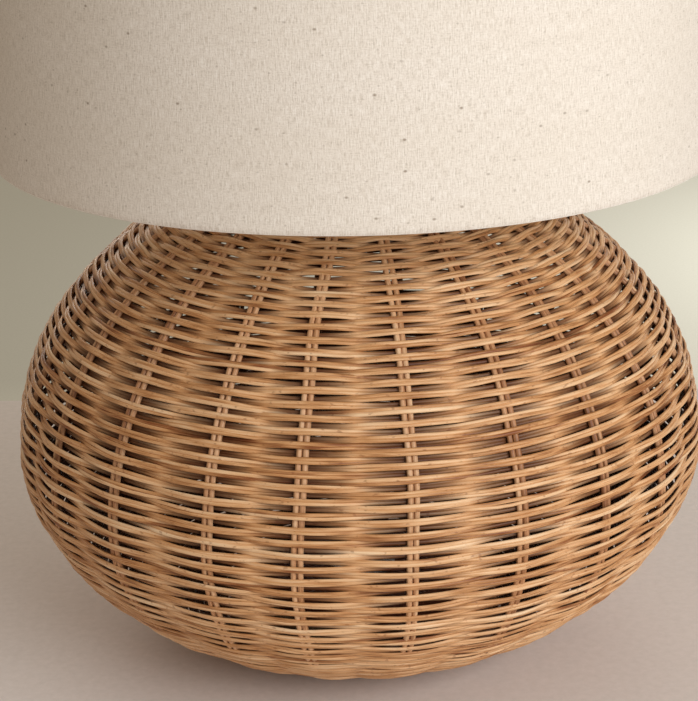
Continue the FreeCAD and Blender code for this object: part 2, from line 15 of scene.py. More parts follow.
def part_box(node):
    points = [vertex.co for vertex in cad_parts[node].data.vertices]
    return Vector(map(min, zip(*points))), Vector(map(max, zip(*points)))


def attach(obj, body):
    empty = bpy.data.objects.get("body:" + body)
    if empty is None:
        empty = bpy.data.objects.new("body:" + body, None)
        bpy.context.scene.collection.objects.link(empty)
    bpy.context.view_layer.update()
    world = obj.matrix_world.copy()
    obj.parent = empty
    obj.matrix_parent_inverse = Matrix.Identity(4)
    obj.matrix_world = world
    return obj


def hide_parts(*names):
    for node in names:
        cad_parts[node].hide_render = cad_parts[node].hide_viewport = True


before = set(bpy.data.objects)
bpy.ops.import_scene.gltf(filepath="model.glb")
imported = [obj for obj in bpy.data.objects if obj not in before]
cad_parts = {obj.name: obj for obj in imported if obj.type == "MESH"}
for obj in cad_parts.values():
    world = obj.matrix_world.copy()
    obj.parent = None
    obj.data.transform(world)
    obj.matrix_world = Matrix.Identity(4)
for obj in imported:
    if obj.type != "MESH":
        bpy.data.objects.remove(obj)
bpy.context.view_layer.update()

MM = 0.001
TURN = 2 * math.pi
SEED = 22

# Outline of the woven wall, as in the CAD source
BODY_R = 175.5 * MM
BELT_Z = 108 * MM
UPPER_H = 143.8 * MM
UPPER_POWER = 1.965
LOWER_H = 119.4 * MM
LOWER_POWER = 1.92
FOOT_WALL_R = 75 * MM
NECK_WALL_R = 44 * MM
OUTLINE_POINTS = 4000

# Weave: every row is a pair of strands that passes in front of one stake and behind the next
WEAVE_DEPTH = 3.5 * MM      # middle of the weave under the outline
ROW_PITCH = 3.05 * MM
# By height: how far a row moves out and in, and how full its strands are. Foot and neck are the tightest.
SWING_AT = {80 * MM: 1.15 * MM, 100 * MM: 1.6 * MM, 130 * MM: 2.35 * MM, 180 * MM: 2.1 * MM,
            215 * MM: 1.15 * MM}
FULLNESS_AT = {80 * MM: 1.12, 100 * MM: 1.06, 130 * MM: 1.0, 185 * MM: 1.01, 215 * MM: 1.15}
STRAND_R = 0.70 * MM        # half the thickness of a strand
STRAND_OVAL = 1.32          # its height over its thickness
PAIR_OFFSET = 0.75 * MM     # each strand's centre from the middle of its row
STEPS = 8                   # mesh rings from one stake to the next
SIDES = 8
BANDS = 8                   # the rows are shared out over this many pieces
ROW_WOBBLE = 0.26 * MM      # every row's rise and fall, in waves that neighbours share
ROW_WAVES = 14
STRAND_WOBBLE = 0.10 * MM
PAIR_TWIST = 0.22           # radians
SWING_WOBBLE = 0.09         # share of the swing
STRAND_VARIETY = 0.05       # spread of the strands' and stakes' thickness, as a share of it
STRAND_SWELL = 0.03         # the same along one strand
TONE_SPREAD = 0.42
STREAK_SHIFT = 0.37         # metres from the streaks of one strand to those of the next
TONE_SHIFT = 3.0            # and more metres by the strand's tone
LEAN = 0.0165               # the hand-woven body leans this much towards +X as it rises
LEAN_LEVEL = 153 * MM       # height where it is over the middle of the base
LEAN_FADE = 70 * MM
BUSHING_ROOM = 5.6 * MM     # rows move this far up or down beside the cord bushing
BUSHING_WIDTH = 8 * MM
BUSHING_REACH = 20 * MM

# Stakes: pairs of rods, evenly spread, with the weaver's small errors in degrees
STAKE_PAIRS = 22
FIRST_STAKE_DEG = -24.6
FRONT_ERRORS_DEG = {-2: -0.3, -1: -0.2, 0: 1.0, 1: -1.0, 2: -0.4, 3: 0.3, 5: -1.1}
STAKE_R = 1.35 * MM
STAKE_SPACING = 2.85 * MM
STAKE_WANDER = 0.35 * MM    # sideways, for a pair
ROD_WANDER = 0.35           # each rod of a pair on its own, as a share of a wander
STAKE_WAVE = 10.0           # radians of wander from foot to neck
STAKE_RINGS = 90
STAKE_TAIL = 5 * MM         # runs on into each border

# Borders: four strands twisted round a core
BORDER_STRANDS = 4
BORDER_STRAND_R = 1.8 * MM
BORDER_HELIX_R = 2.55 * MM
BORDER_TWIST = 19 * MM      # length of one twist
BORDER_RINGS_PER_TWIST = 14
BORDER_SIDES = 10

# Shade cloth
CLOTH_T = 0.7 * MM
CLOTH_RINGS = 540
CLOTH_ROWS = 60
LAP = 10 * MM               # width of the seam at the back
SEAM_T = 0.35 * MM          # the seam stands this proud
SEAM_EDGE = 0.5 * MM
SLACK = 0.35 * MM           # the most that the cloth stands off the liner
HEM_DEPTH = 13 * MM
HEM_STEP = 1.5 * MM
HEM_INSET = 1.25 * MM       # from the wall's inner face to the middle of the turned-in cloth
RING_GAP = 0.05 * MM

# Felt
FELT_EDGE = 0.5 * MM
FELT_HOLE_R = 0.5 * MM      # pin hole of the cutter
FELT_RINGS = 120

# Camera
CAMERA_DISTANCE = 957 * MM  # in front of the lamp's axis
CAMERA_HEIGHT = 487.5 * MM
CAMERA_TILT = 0.3407        # radians below level
CAMERA_PAN = 0.0054
CAMERA_ROLL = -0.0193
CAMERA_LENS = 101.77        # millimetres, on the standard 36 mm sensor

# Stage and lights, in metres and watts
TABLE_BACK = 326 * MM       # the table ends here, behind the lamp
TABLE_FRONT = -2.6
TABLE_HALF = 1.6
GROUND_HALF = 8.0
GROUND_Z = -0.6
SLAB_T = 20 * MM
LAMP_MIDDLE = (0, 0, 0.18)
LIGHTS = {                  # name: place, target, size, power, colour
    "key": ((0.86, -1.21, 0.78), LAMP_MIDDLE, (1.2, 0.7), 18.6, (0.94, 0.98, 1.0)),
    "wash": ((1.7, 2.5, 0.1), (1.35, 2.5, -0.6), (0.8, 1.6), 26.0, (0.94, 0.975, 1.0)),
    "back": ((-0.3, 1.75, 0.6), LAMP_MIDDLE, (1.0, 0.7), 8.5, (1.0, 0.95, 0.86)),
}
ROOM_COLOR = (1.0, 0.88, 0.72, 1.0)
ROOM_STRENGTH = 0.35

# Display colours, 0 to 255: rattan runs from dark to pale, the others hold a colour and its variation
WALL_RATTAN = ((128, 67, 23), (200, 144, 92), (227, 180, 133), (242, 209, 170))
STAKE_RATTAN = ((130, 78, 44), (188, 133, 90), (218, 170, 127), (236, 200, 162))
BORDER_RATTAN = ((134, 80, 44), (190, 136, 90), (220, 172, 130), (238, 203, 166))
# Painted shade: brown that strands darken to where they lie further back in the weave, behind the stakes
BACK_ROW_SHADE_BROWN = (82, 31, 2)
# Painted shade: brown of each strand's side that faces into the body
INNER_SIDE_SHADE_BROWN = (82, 32, 4)
TABLE_COLORS = ((232, 222, 217), (223, 213, 207))
GROUND_COLORS = ((222, 218, 202), (216, 212, 196))


# ---- geometry helpers ----

def around(radius, angle, height):
    """Points at these radii, angles and heights about the axis."""
    return np.stack(np.broadcast_arrays(radius * np.sin(angle), -radius * np.cos(angle), height), -1)


def unit(vectors):
    return vectors / np.linalg.norm(vectors, axis=-1, keepdims=True)


def wobble(rng, count, angles, fewest, most, size):
    """One smooth random curve round the axis for each of count strands, size times a normal spread."""
    modes = 5
    turns = rng.integers(fewest, most, (count, modes, 1))
    phases = rng.uniform(0, TURN, (count, modes, 1))
    waves = np.cos(turns * np.reshape(angles, (-1, 1, angles.shape[-1])) + phases)
    return waves.sum(1) * size * math.sqrt(2 / modes)


def by_height(height, table):
    """Values between those of a table that is keyed by height."""
    return np.interp(height, list(table), list(table.values()))


def new_object(name, points, faces, smooth=True):
    mesh = bpy.data.meshes.new(name)
    mesh.from_pydata(points, [], faces)
    mesh.polygons.foreach_set("use_smooth", np.full(len(mesh.polygons), smooth))
    obj = bpy.data.objects.new(name, mesh)
    bpy.context.scene.collection.objects.link(obj)
    return obj


def add_values(obj, name, kind, values):
    """Stores one number or vector for each vertex, for the materials to read."""
    layer = obj.data.attributes.new(name, kind, "POINT")
    field = "value" if kind == "FLOAT" else "vector"
    layer.data.foreach_set(field, np.ascontiguousarray(values, np.float32).ravel())


def tubes(name, paths, radii, outward, tones, depths, sides=SIDES, oval=1.0):
    """Closed tubes along paths, an array of strands by rings by 3, as one object.

    outward points away from the lamp's axis at each ring. oval is the width across it over the width
    along it. Vertices get a tone, the strand's own shade from -1 to 1, fibre, their place along and
    round the strand in millimetres, and depth, how far out the strand is there from -1 to 1. The place
    along starts further on for each strand, so that no two have the same streaks.
    """
    strands, rings, _ = paths.shape
    ahead = unit(np.gradient(paths, axis=1))
    across = unit(np.cross(outward, ahead))
    out = np.cross(ahead, across)
    turn = np.arange(sides) * TURN / sides
    circle_out, circle_across = np.cos(turn), oval * np.sin(turn)
    spokes = out[:, :, None] * circle_out[:, None] + across[:, :, None] * circle_across[:, None]
    points = paths[:, :, None] + radii[:, :, None, None] * spokes

    ring = np.arange(sides)
    following = np.roll(ring, -1)
    step = sides * np.arange(rings - 1)[:, None]
    quads = np.stack(np.broadcast_arrays(step + ring, step + following,
                                         step + sides + following, step + sides + ring), -1)
    starts = sides * rings * np.arange(strands)
    quads = (starts[:, None, None] + quads.reshape(1, -1, 4)).reshape(-1, 4)
    caps = [list(start + ring[::-1]) for start in starts]
    caps += [list(start + sides * (rings - 1) + ring) for start in starts]
    obj = new_object(name, points.reshape(-1, 3), quads.tolist() + caps)

    steps = np.linalg.norm(np.diff(paths, axis=1), axis=2)
    along = np.concatenate([np.zeros((strands, 1)), steps.cumsum(1)], 1)
    along = along + STREAK_SHIFT * np.arange(strands)[:, None] + TONE_SHIFT * np.abs(tones[:, None])
    shape = (strands, rings, sides)
    radius = radii[:, :, None]
    fibre = np.stack([np.broadcast_to(along[:, :, None], shape),
                      np.broadcast_to(radius * circle_out, shape),
                      np.broadcast_to(radius * circle_across, shape)], -1)
    add_values(obj, "fibre", "FLOAT_VECTOR", fibre / MM)
    add_values(obj, "tone", "FLOAT", np.broadcast_to(tones[:, None, None], shape))
    add_values(obj, "depth", "FLOAT", np.broadcast_to(depths[:, :, None], shape))
    return obj


def turned(name, profile, rings, start_angle=math.pi, bulge=None):
    """A closed outline of (r, z) points, turned about the axis. bulge adds to r by angle and height."""
    profile = np.array(profile)
    count = len(profile)
    angle = start_angle + np.arange(rings)[:, None] * TURN / rings
    radius = profile[:, 0] + (0 if bulge is None else bulge(angle, profile[:, 1]))
    points = around(radius, angle, np.broadcast_to(profile[:, 1], (rings, count)))
    column = np.arange(count)
    start = count * np.arange(rings)[:, None]
    after = np.roll(start, -1, 0)
    following = np.roll(column, -1)
    quads = np.stack([start + column, after + column, after + following, start + following], -1)
    return new_object(name, points.reshape(-1, 3), quads.reshape(-1, 4).tolist())


# ---- woven wall ----

class Wall:
    """The middle surface of the weave. Places on it are distances up from the foot, along the wall."""

    def __init__(self, depth):
        foot = -math.acos((FOOT_WALL_R / BODY_R) ** (LOWER_POWER / 2))
        neck = math.acos((NECK_WALL_R / BODY_R) ** (UPPER_POWER / 2))
        slope = np.linspace(foot, neck, OUTLINE_POINTS)
        height = np.where(slope < 0, LOWER_H, UPPER_H)
        power = np.where(slope < 0, LOWER_POWER, UPPER_POWER)
        outline = np.stack([BODY_R * np.cos(slope) ** (2 / power),
                            BELT_Z + np.sign(slope) * height * np.abs(np.sin(slope)) ** (2 / power)], 1)
        upward = unit(np.gradient(outline, axis=0))
        self.out = np.stack([upward[:, 1], -upward[:, 0]], 1)
        self.line = outline - depth * self.out
        steps = np.linalg.norm(np.diff(self.line, axis=0), axis=1)
        self.up = np.concatenate([[0], steps.cumsum()])
        self.length = self.up[-1]

    def radius(self, up):
        return np.interp(up, self.up, self.line[:, 0])

    def height(self, up):
        return np.interp(up, self.up, self.line[:, 1])

    def normal(self, up):
        """Outward direction as (r, z)."""
        return np.stack([np.interp(up, self.up, self.out[:, i]) for i in (0, 1)], -1)

    def point(self, up, angle, out=0.0):
        """The point this far up the wall and this far out from its middle, with the lean."""
        normal = self.normal(up)
        past = up - np.clip(up, 0, self.length)
        radius = self.radius(up) - past * normal[..., 1] + out * normal[..., 0]
        height = self.height(up) + past * normal[..., 0] + out * normal[..., 1]
        points = around(radius, angle, height)
        points[..., 0] += self.lean(up, height)
        return points

    def lean(self, up, height):
        """Sideways shift, which fades out towards the foot and the neck."""
        inside = np.clip(np.minimum(up, self.length - up) / LEAN_FADE, 0, 1)
        return LEAN * (height - LEAN_LEVEL) * inside * inside * (3 - 2 * inside)

    def outward(self, up, angle):
        """Outward direction in space."""
        normal = self.normal(up)
        return around(normal[..., 0], angle, normal[..., 1])


def stake_angles(rng):
    """Each stake pair's angle in radians, growing, over one turn and the first pair again."""
    errors = rng.uniform(-1.0, 1.0, STAKE_PAIRS)
    for pair, error in FRONT_ERRORS_DEG.items():
        errors[pair] = error
    degrees = FIRST_STAKE_DEG + np.arange(STAKE_PAIRS) * 360 / STAKE_PAIRS + errors
    return np.radians(np.append(degrees, degrees[0] + 360))


def part_for_bushing(wall, up, angle):
    """How far rows move along the wall to leave a hole for the cord bushing."""
    low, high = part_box("cord_bushing")
    height = 0.5 * (low.z + high.z)
    below = np.flatnonzero(wall.line[:, 1] < height)
    centre = wall.up[below[-1]]
    beside = wall.radius(up) * np.abs(np.remainder(angle, TURN) - math.pi)
    near = np.exp(-(beside / BUSHING_WIDTH) ** 2) * np.exp(-np.abs(up - centre) / BUSHING_REACH)
    push = BUSHING_ROOM * near
    return np.where(up < centre, -push, push)


def weave_rows(wall, stakes, rattan, rng):
    """Pieces of the woven wall, each a band of rows."""
    rows = round(wall.length / ROW_PITCH)
    pitch = wall.length / rows
    knots = np.arange(STAKE_PAIRS + 1)
    places = np.linspace(0, STAKE_PAIRS, STAKE_PAIRS * STEPS + 1)
    shared = [(rng.integers(2, 16), rng.uniform(40, 300), rng.uniform(0, TURN)) for _ in range(ROW_WAVES)]
    for band, members in enumerate(np.array_split(np.arange(rows), BANDS)):
        count = len(members)
        first = 2 * rng.integers(0, STAKE_PAIRS // 2, (count, 1)) + 1 - members[:, None] % 2
        place = first + places
        angle = np.interp(np.mod(place, STAKE_PAIRS), knots, stakes) + TURN * (place // STAKE_PAIRS)
        up = np.broadcast_to((members[:, None] + 0.5) * pitch, angle.shape)
        for turns, waves, shift in shared:
            up = up + ROW_WOBBLE * math.sqrt(2 / ROW_WAVES) * np.cos(turns * angle + waves * up + shift)
        up = up + part_for_bushing(wall, up, angle)
        height = wall.height(up)
        phase = -np.cos(math.pi * places)
        swing = by_height(height, SWING_AT) * phase * (1 + wobble(rng, count, angle, 3, 23, SWING_WOBBLE))
        twist = wobble(rng, count, angle, 2, 24, PAIR_TWIST)
        paths, outs, radii, depths = [], [], [], []
        for side in (-1, 1):
            rise = side * PAIR_OFFSET * np.cos(twist) + wobble(rng, count, angle, 3, 40, STRAND_WOBBLE)
            out = swing + side * PAIR_OFFSET * np.sin(twist) + wobble(rng, count, angle, 5, 40, STRAND_WOBBLE)
            paths.append(wall.point(up + rise, angle, out))
            outs.append(wall.outward(up + rise, angle))
            size = STRAND_R * by_height(height, FULLNESS_AT)
            size = size * (1 + rng.normal(0, STRAND_VARIETY, (count, 1)))
            radii.append(size * (1 + wobble(rng, count, angle, 4, 30, STRAND_SWELL)))
            depths.append(np.broadcast_to(phase, swing.shape))
        tones = np.clip(rng.normal(0, TONE_SPREAD, 2 * count), -1, 1)
        obj = tubes(f"weave_band_{band + 1}", np.concatenate(paths), np.concatenate(radii),
                    np.concatenate(outs), tones, np.concatenate(depths), oval=STRAND_OVAL)
        obj.data.materials.append(rattan)
        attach(obj, "base")
        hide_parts("woven_wall")


def stake_rods(wall, stakes, rattan, rng):
    """Pairs of rods that the rows are woven round."""
    up = np.linspace(-STAKE_TAIL, wall.length + STAKE_TAIL, STAKE_RINGS)
    up = np.broadcast_to(up, (2 * STAKE_PAIRS, STAKE_RINGS))
    centre = np.repeat(stakes[:-1], 2)[:, None]
    side = np.tile([-0.5, 0.5], STAKE_PAIRS)[:, None] * STAKE_SPACING
    wave = up * STAKE_WAVE / wall.length
    drift = wobble(rng, 2 * STAKE_PAIRS, wave, 1, 6, STAKE_WANDER)
    shared = np.repeat(wobble(rng, STAKE_PAIRS, wave[:1], 1, 4, STAKE_WANDER), 2, 0)
    angle = centre + (side + shared + ROD_WANDER * drift) / wall.radius(up)
    radii = STAKE_R * (1 + rng.normal(0, STRAND_VARIETY, (2 * STAKE_PAIRS, 1)))
    radii = np.broadcast_to(radii, up.shape)
    tones = np.clip(rng.normal(-0.1, 0.4, 2 * STAKE_PAIRS), -1, 1)
    depths = np.zeros(up.shape)
    obj = tubes("stake_rods", wall.point(up, angle), radii, wall.outward(up, angle), tones, depths)
    obj.data.materials.append(rattan)
    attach(obj, "base")
    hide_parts("stakes")


def twisted_border(name, node, rattan, rng):
    """A rope of strands along the CAD border's ring."""
    low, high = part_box(node)
    half = 0.5 * (high.z - low.z)
    ring_r, ring_z = high.x - half, low.z + half
    twists = round(TURN * ring_r / BORDER_TWIST)
    angle = math.pi + np.linspace(0, TURN, twists * BORDER_RINGS_PER_TWIST + 1)
    phase = TURN * np.arange(BORDER_STRANDS + 1)[:, None] / BORDER_STRANDS + twists * angle
    reach = np.full((BORDER_STRANDS + 1, 1), BORDER_HELIX_R)
    reach[-1] = 0
    radius, height = ring_r + reach * np.cos(phase), ring_z + reach * np.sin(phase)
    paths = around(radius, angle, height)
    outward = around(np.cos(phase), angle, np.sin(phase))
    radii = np.full(phase.shape, BORDER_STRAND_R)
    radii[-1] = BORDER_HELIX_R - 0.5 * BORDER_STRAND_R
    tones = np.clip(rng.normal(0, 0.4, BORDER_STRANDS + 1), -1, 1)
    obj = tubes(name, paths, radii, outward, tones, np.full(phase.shape, 0.6), sides=BORDER_SIDES)
    obj.data.materials.append(rattan)
    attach(obj, "base")
    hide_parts(node)


# ---- shade cloth and felt ----

def offset_outline(line, thickness):
    """A closed outline round an open line of (r, z) points."""
    line = np.array(line)
    ahead = unit(np.gradient(line, axis=0))
    side = 0.5 * thickness * np.stack([ahead[:, 1], -ahead[:, 0]], 1)
    return np.concatenate([line + side, (line - side)[::-1]])


def hem(ring_r, ring_z, ring_half, wall_r, slope, end):
    """The cloth's line round a shade ring, from the inside of the liner to the cloth's outside.

    end is -1 at the bottom ring and 1 at the top one, and slope is the wall's lean, dr over dz.
    """
    reach = ring_half + 0.5 * CLOTH_T + RING_GAP
    inner_r = wall_r - CLOTH_T - HEM_INSET
    rises = [end * (HEM_DEPTH - step * HEM_STEP) for step in range(6)]
    line = [(inner_r - slope * rise, ring_z - rise) for rise in rises]
    for turn in np.radians([170, 200, 225, 250, 270]):
        line.append((ring_r + reach * math.cos(turn), ring_z - end * reach * math.sin(turn)))
    for turn in np.radians([285, 305, 330]):
        line.append((wall_r - reach + reach * math.cos(turn), ring_z - end * reach * math.sin(turn)))
    return line


def shade_cloth(linen):
    """The drum's cover: one piece of cloth, lapped at the back and turned in round both rings."""
    low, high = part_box("shade_fabric")
    bottom_low, bottom_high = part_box("bottom_ring")
    top_low, top_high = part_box("top_ring")
    half = 0.5 * (bottom_high.z - bottom_low.z)
    bottom_z, top_z = 0.5 * (bottom_low.z + bottom_high.z), 0.5 * (top_low.z + top_high.z)
    bottom_r = high.x
    slope = (top_high.x - bottom_high.x) / (top_z - bottom_z)
    wall_low = bottom_r - 0.5 * CLOTH_T + slope * (bottom_z - low.z)
    wall_high = wall_low + slope * (top_z - bottom_z)
    line = hem(bottom_high.x - half, bottom_z, half, wall_low, slope, -1)
    heights = np.linspace(bottom_z + 1 * MM, top_z - 1 * MM, CLOTH_ROWS)
    line += [(wall_low + slope * (z - bottom_z), z) for z in heights]
    line += hem(top_high.x - half, top_z, half, wall_high, slope, 1)[::-1]

    def bulge(angle, z):
        """The cloth's slack between the rings, and the thicker seam."""
        share = np.clip((z - bottom_z) / (top_z - bottom_z), 0, 1)
        slack = 0.5 + 0.2 * np.cos(3 * angle + 1 + 2 * share) + 0.2 * np.cos(7 * angle + 2) \
            + 0.1 * np.cos(13 * angle + 5 * share)
        beside = bottom_r * np.abs(np.mod(angle, TURN) - math.pi)
        seam = 0.5 - 0.5 * np.tanh((beside - 0.5 * LAP) / SEAM_EDGE)
        return SLACK * slack * 4 * share * (1 - share) + SEAM_T * seam

    outline = offset_outline(line, CLOTH_T)
    obj = turned("shade_cover", outline, CLOTH_RINGS, math.pi + 0.5 * LAP / bottom_r, bulge)
    angle = np.arange(CLOTH_RINGS)[:, None] * TURN / CLOTH_RINGS
    run = np.concatenate([[0], np.linalg.norm(np.diff(np.array(line), axis=0), axis=1).cumsum()])
    run = np.concatenate([run, run[::-1]])
    place = np.stack(np.broadcast_arrays(angle * bottom_r, run, 0 * run), -1)
    add_values(obj, "cloth", "FLOAT_VECTOR", place / MM)
    obj.data.materials.append(linen)
    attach(obj, "shade")
    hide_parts("shade_fabric")


def felt_disc(felt):
    """The soft pad under the board, with a slightly rounded cut edge."""
    low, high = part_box("felt_pad")
    radius = high.x
    rim = radius - FELT_EDGE
    outline = [(FELT_HOLE_R, low.z), (0.5 * radius, low.z), (rim, low.z), (radius, low.z + FELT_EDGE),
               (radius, high.z - FELT_EDGE), (rim, high.z), (0.5 * radius, high.z), (FELT_HOLE_R, high.z)]
    obj = turned("felt_disc", outline, FELT_RINGS)
    obj.data.materials.append(felt)
    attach(obj, "base")
    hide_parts("felt_pad")


# ---- materials ----

def paint(red, green, blue):
    """A colour from its display values, 0 to 255."""
    linear = [c / 12.92 if c <= 0.04045 else ((c + 0.055) / 1.055) ** 2.4
              for c in (red / 255, green / 255, blue / 255)]
    return (*linear, 1.0)


class Graph:
    """Short calls that make a material's nodes."""

    def __init__(self, name):
        self.material = bpy.data.materials.new(name)
        self.material.use_nodes = True
        self.tree = self.material.node_tree
        self.shader = self.tree.nodes["Principled BSDF"]

    def put(self, socket, value):
        if isinstance(value, bpy.types.NodeSocket):
            self.tree.links.new(value, socket)
        else:
            socket.default_value = value

    def node(self, kind, values, **settings):
        made = self.tree.nodes.new(kind)
        for key, value in settings.items():
            setattr(made, key, value)
        for key, value in values.items():
            self.put(made.inputs[key], value)
        return made

    def surface(self, **values):
        names = {"color": "Base Color", "roughness": "Roughness", "metallic": "Metallic", "normal": "Normal",
                 "ior": "IOR", "sheen": "Sheen Weight", "sheen_roughness": "Sheen Roughness",
                 "coat": "Coat Weight", "transmission": "Transmission Weight",
                 "specular": "Specular IOR Level"}
        for key, value in values.items():
            self.put(self.shader.inputs[names[key]], value)
        return self.material

    def attribute(self, name, output="Vector"):
        return self.node("ShaderNodeAttribute", {}, attribute_name=name).outputs[output]

    def place(self):
        return self.node("ShaderNodeTexCoord", {}).outputs["Object"]

    def scaled(self, vector, *scale):
        return self.node("ShaderNodeMapping", {"Vector": vector, "Scale": scale}).outputs["Vector"]

    def noise(self, vector, scale=1.0, detail=3.0, roughness=0.5, distortion=0.0):
        values = {"Vector": vector, "Scale": scale, "Detail": detail, "Roughness": roughness,
                  "Distortion": distortion}
        return self.node("ShaderNodeTexNoise", values).outputs["Fac"]

    def flecks(self, vector, cell, size, share, strength):
        """Soft spots of up to size millimetres, in this share of scattered cells, some of them faint."""
        values = {"Vector": vector, "Scale": 1 / cell}
        cells = self.node("ShaderNodeTexVoronoi", values, voronoi_dimensions="2D")
        spot = self.spread(cells.outputs["Distance"], 0.35 * size / cell, size / cell, strength, 0.0)
        pick = self.node("ShaderNodeSeparateXYZ", {"Vector": cells.outputs["Color"]}).outputs["X"]
        return self.maths("MULTIPLY", spot, self.spread(pick, 1 - share, 1.0))

    def spread(self, value, low, high, to_low=0.0, to_high=1.0):
        """value from low to high becomes to_low to to_high, and stays there beyond."""
        values = {"Value": value, "From Min": low, "From Max": high, "To Min": to_low, "To Max": to_high}
        return self.node("ShaderNodeMapRange", values).outputs["Result"]

    def maths(self, operation, a, b):
        made = self.node("ShaderNodeMath", {}, operation=operation)
        self.put(made.inputs[0], a)
        self.put(made.inputs[1], b)
        return made.outputs[0]

    def ramp(self, value, *stops):
        made = self.node("ShaderNodeValToRGB", {"Fac": value})
        elements = made.color_ramp.elements
        while len(elements) < len(stops):
            elements.new(1.0)
        for element, (position, color) in zip(elements, stops):
            element.position, element.color = position, color
        return made.outputs["Color"]

    def mix(self, share, a, b):
        made = self.node("ShaderNodeMix", {}, data_type="RGBA")
        self.put(made.inputs["Factor"], share)
        self.put([s for s in made.inputs if s.name == "A" and s.type == "RGBA"][0], a)
        self.put([s for s in made.inputs if s.name == "B" and s.type == "RGBA"][0], b)
        return [s for s in made.outputs if s.type == "RGBA"][0]

    def bump(self, height, distance, strength=1.0):
        values = {"Height": height, "Distance": distance, "Strength": strength}
        return self.node("ShaderNodeBump", values).outputs["Normal"]


def rattan_material(name, colors):
    """Peeled rattan: fine streaks along each strand, blotches, and painted shade: browner where strands lie
    further back in the weave and on their inner side.
    """
    dark, middle, light, pale = [paint(*color) for color in colors]
    g = Graph(name)
    fibre = g.attribute("fibre")
    tone = g.attribute("tone", "Fac")
    streaks = g.noise(g.scaled(fibre, 0.06, 3.2, 3.2), detail=4.0, roughness=0.65)
    blotches = g.noise(g.scaled(fibre, 0.045, 0.3, 0.3), detail=2.0)
    marks = g.noise(g.scaled(fibre, 0.35, 0.6, 0.6), detail=1.0)
    mixed = g.maths("ADD", g.maths("MULTIPLY", tone, 0.20), g.maths("MULTIPLY", streaks, 0.75))
    mixed = g.maths("ADD", mixed, g.maths("MULTIPLY", blotches, 0.70))
    mixed = g.maths("SUBTRACT", mixed, 0.22)
    color = g.ramp(mixed, (0.22, dark), (0.42, middle), (0.60, light), (0.85, pale))
    color = g.mix(g.spread(marks, 0.66, 0.74, 0.0, 0.45), color, dark)
    # Painted shade: the further back a strand lies in the weave (depth towards -1), the browner it gets
    back_row_shade = g.spread(g.attribute("depth", "Fac"), -1.0, 0.05, 0.88, 0.0)
    color = g.mix(back_row_shade, color, paint(*BACK_ROW_SHADE_BROWN))
    # Painted shade: the side of each strand that faces into the body is browner
    inward = g.node("ShaderNodeSeparateXYZ", {"Vector": fibre}).outputs["Y"]
    color = g.mix(g.spread(inward, -0.45, 0.0, 0.85, 0.0), color, paint(*INNER_SIDE_SHADE_BROWN))
    rough = g.spread(streaks, 0.3, 0.7, 0.42, 0.62)
    normal = g.bump(streaks, 0.12 * MM, 0.6)
    return g.surface(color=color, roughness=rough, normal=normal)


def linen_material():
    """Undyed cotton and linen: uneven upright and cross threads, faint patches, slubs and husk flecks."""
    g = Graph("linen")
    cloth = g.attribute("cloth")
    upright = g.noise(g.scaled(cloth, 2.2, 0.22, 1), detail=2.0, roughness=0.6)
    cross = g.noise(g.scaled(cloth, 0.3, 2.2, 1), detail=2.0, roughness=0.6)
    grain = g.noise(g.scaled(cloth, 1.3, 1.1, 1), detail=3.0, roughness=0.75)
    threads = g.maths("ADD", g.maths("MULTIPLY", upright, 0.46), g.maths("MULTIPLY", cross, 0.22))
    threads = g.maths("ADD", threads, g.maths("MULTIPLY", grain, 0.32))
    color = g.ramp(threads, (0.36, paint(198, 186, 172)), (0.5, paint(228, 217, 205)),
                   (0.64, paint(243, 235, 226)))
    patch = g.noise(g.scaled(cloth, 0.02, 0.03, 1), detail=2.0)
    color = g.mix(g.spread(patch, 0.35, 0.65, 0.0, 0.12), color, paint(214, 200, 180))
    slub = g.spread(g.noise(g.scaled(cloth, 0.42, 0.2, 1), detail=1.0), 0.66, 0.76)
    color = g.mix(g.maths("MULTIPLY", slub, 0.25), color, paint(192, 176, 158))
    wide = g.scaled(cloth, 0.75, 1.1, 1)
    for cell, size, share, strength in ((4.2, 0.55, 0.26, 0.35), (9.0, 0.8, 0.15, 0.7)):
        color = g.mix(g.flecks(wide, cell, size, share, strength), color, paint(122, 101, 78))
    normal = g.bump(threads, 0.25 * MM, 0.9)
    return g.surface(color=color, roughness=0.92, normal=normal, sheen=0.15, sheen_roughness=0.5,
                     specular=0.25)


def metal_material(name, color, worn, roughness, scratches=900.0):
    """Brushed or plated metal with faint scratches and a duller, browner film in places."""
    g = Graph(name)
    place = g.place()
    film = g.noise(place, 60.0, detail=3.0)
    lines = g.noise(g.scaled(place, 0.15, 0.15, 1), scratches, detail=2.0)
    tint = g.mix(g.spread(film, 0.4, 0.65, 0.0, 0.6), color, worn)
    rough = g.spread(g.maths("ADD", film, lines), 0.8, 1.2, roughness, roughness + 0.18)
    return g.surface(color=tint, metallic=1.0, roughness=rough, normal=g.bump(lines, 0.02 * MM, 0.3))


def grainy_material(name, color, other, scale, roughness, depth=0.1 * MM, **more):
    """A matt material with a fine even grain: cast iron, moulded resin, card or board."""
    g = Graph(name)
    grain = g.noise(g.place(), scale, detail=5.0, roughness=0.6)
    tint = g.mix(g.spread(grain, 0.35, 0.65), color, other)
    rough = g.spread(grain, 0.3, 0.7, roughness - 0.05, roughness + 0.08)
    return g.surface(color=tint, roughness=rough, normal=g.bump(grain, depth, 0.5), **more)


def glass_material():
    """Clear bulb glass with a faint unevenness."""
    g = Graph("clear_glass")
    waves = g.noise(g.place(), 40.0, detail=1.0)
    return g.surface(color=(1, 1, 1, 1), roughness=0.02, transmission=1.0, ior=1.45,
                     normal=g.bump(waves, 0.05 * MM, 0.2))


def board_material():
    """Plain raw board with fine fibres."""
    g = Graph("fibreboard")
    place = g.place()
    fibres = g.noise(g.scaled(place, 1, 1, 4), 700.0, detail=4.0, roughness=0.7)
    tint = g.ramp(fibres, (0.3, paint(128, 98, 68)), (0.7, paint(168, 136, 99)))
    return g.surface(color=tint, roughness=0.85, normal=g.bump(fibres, 0.1 * MM, 0.5))


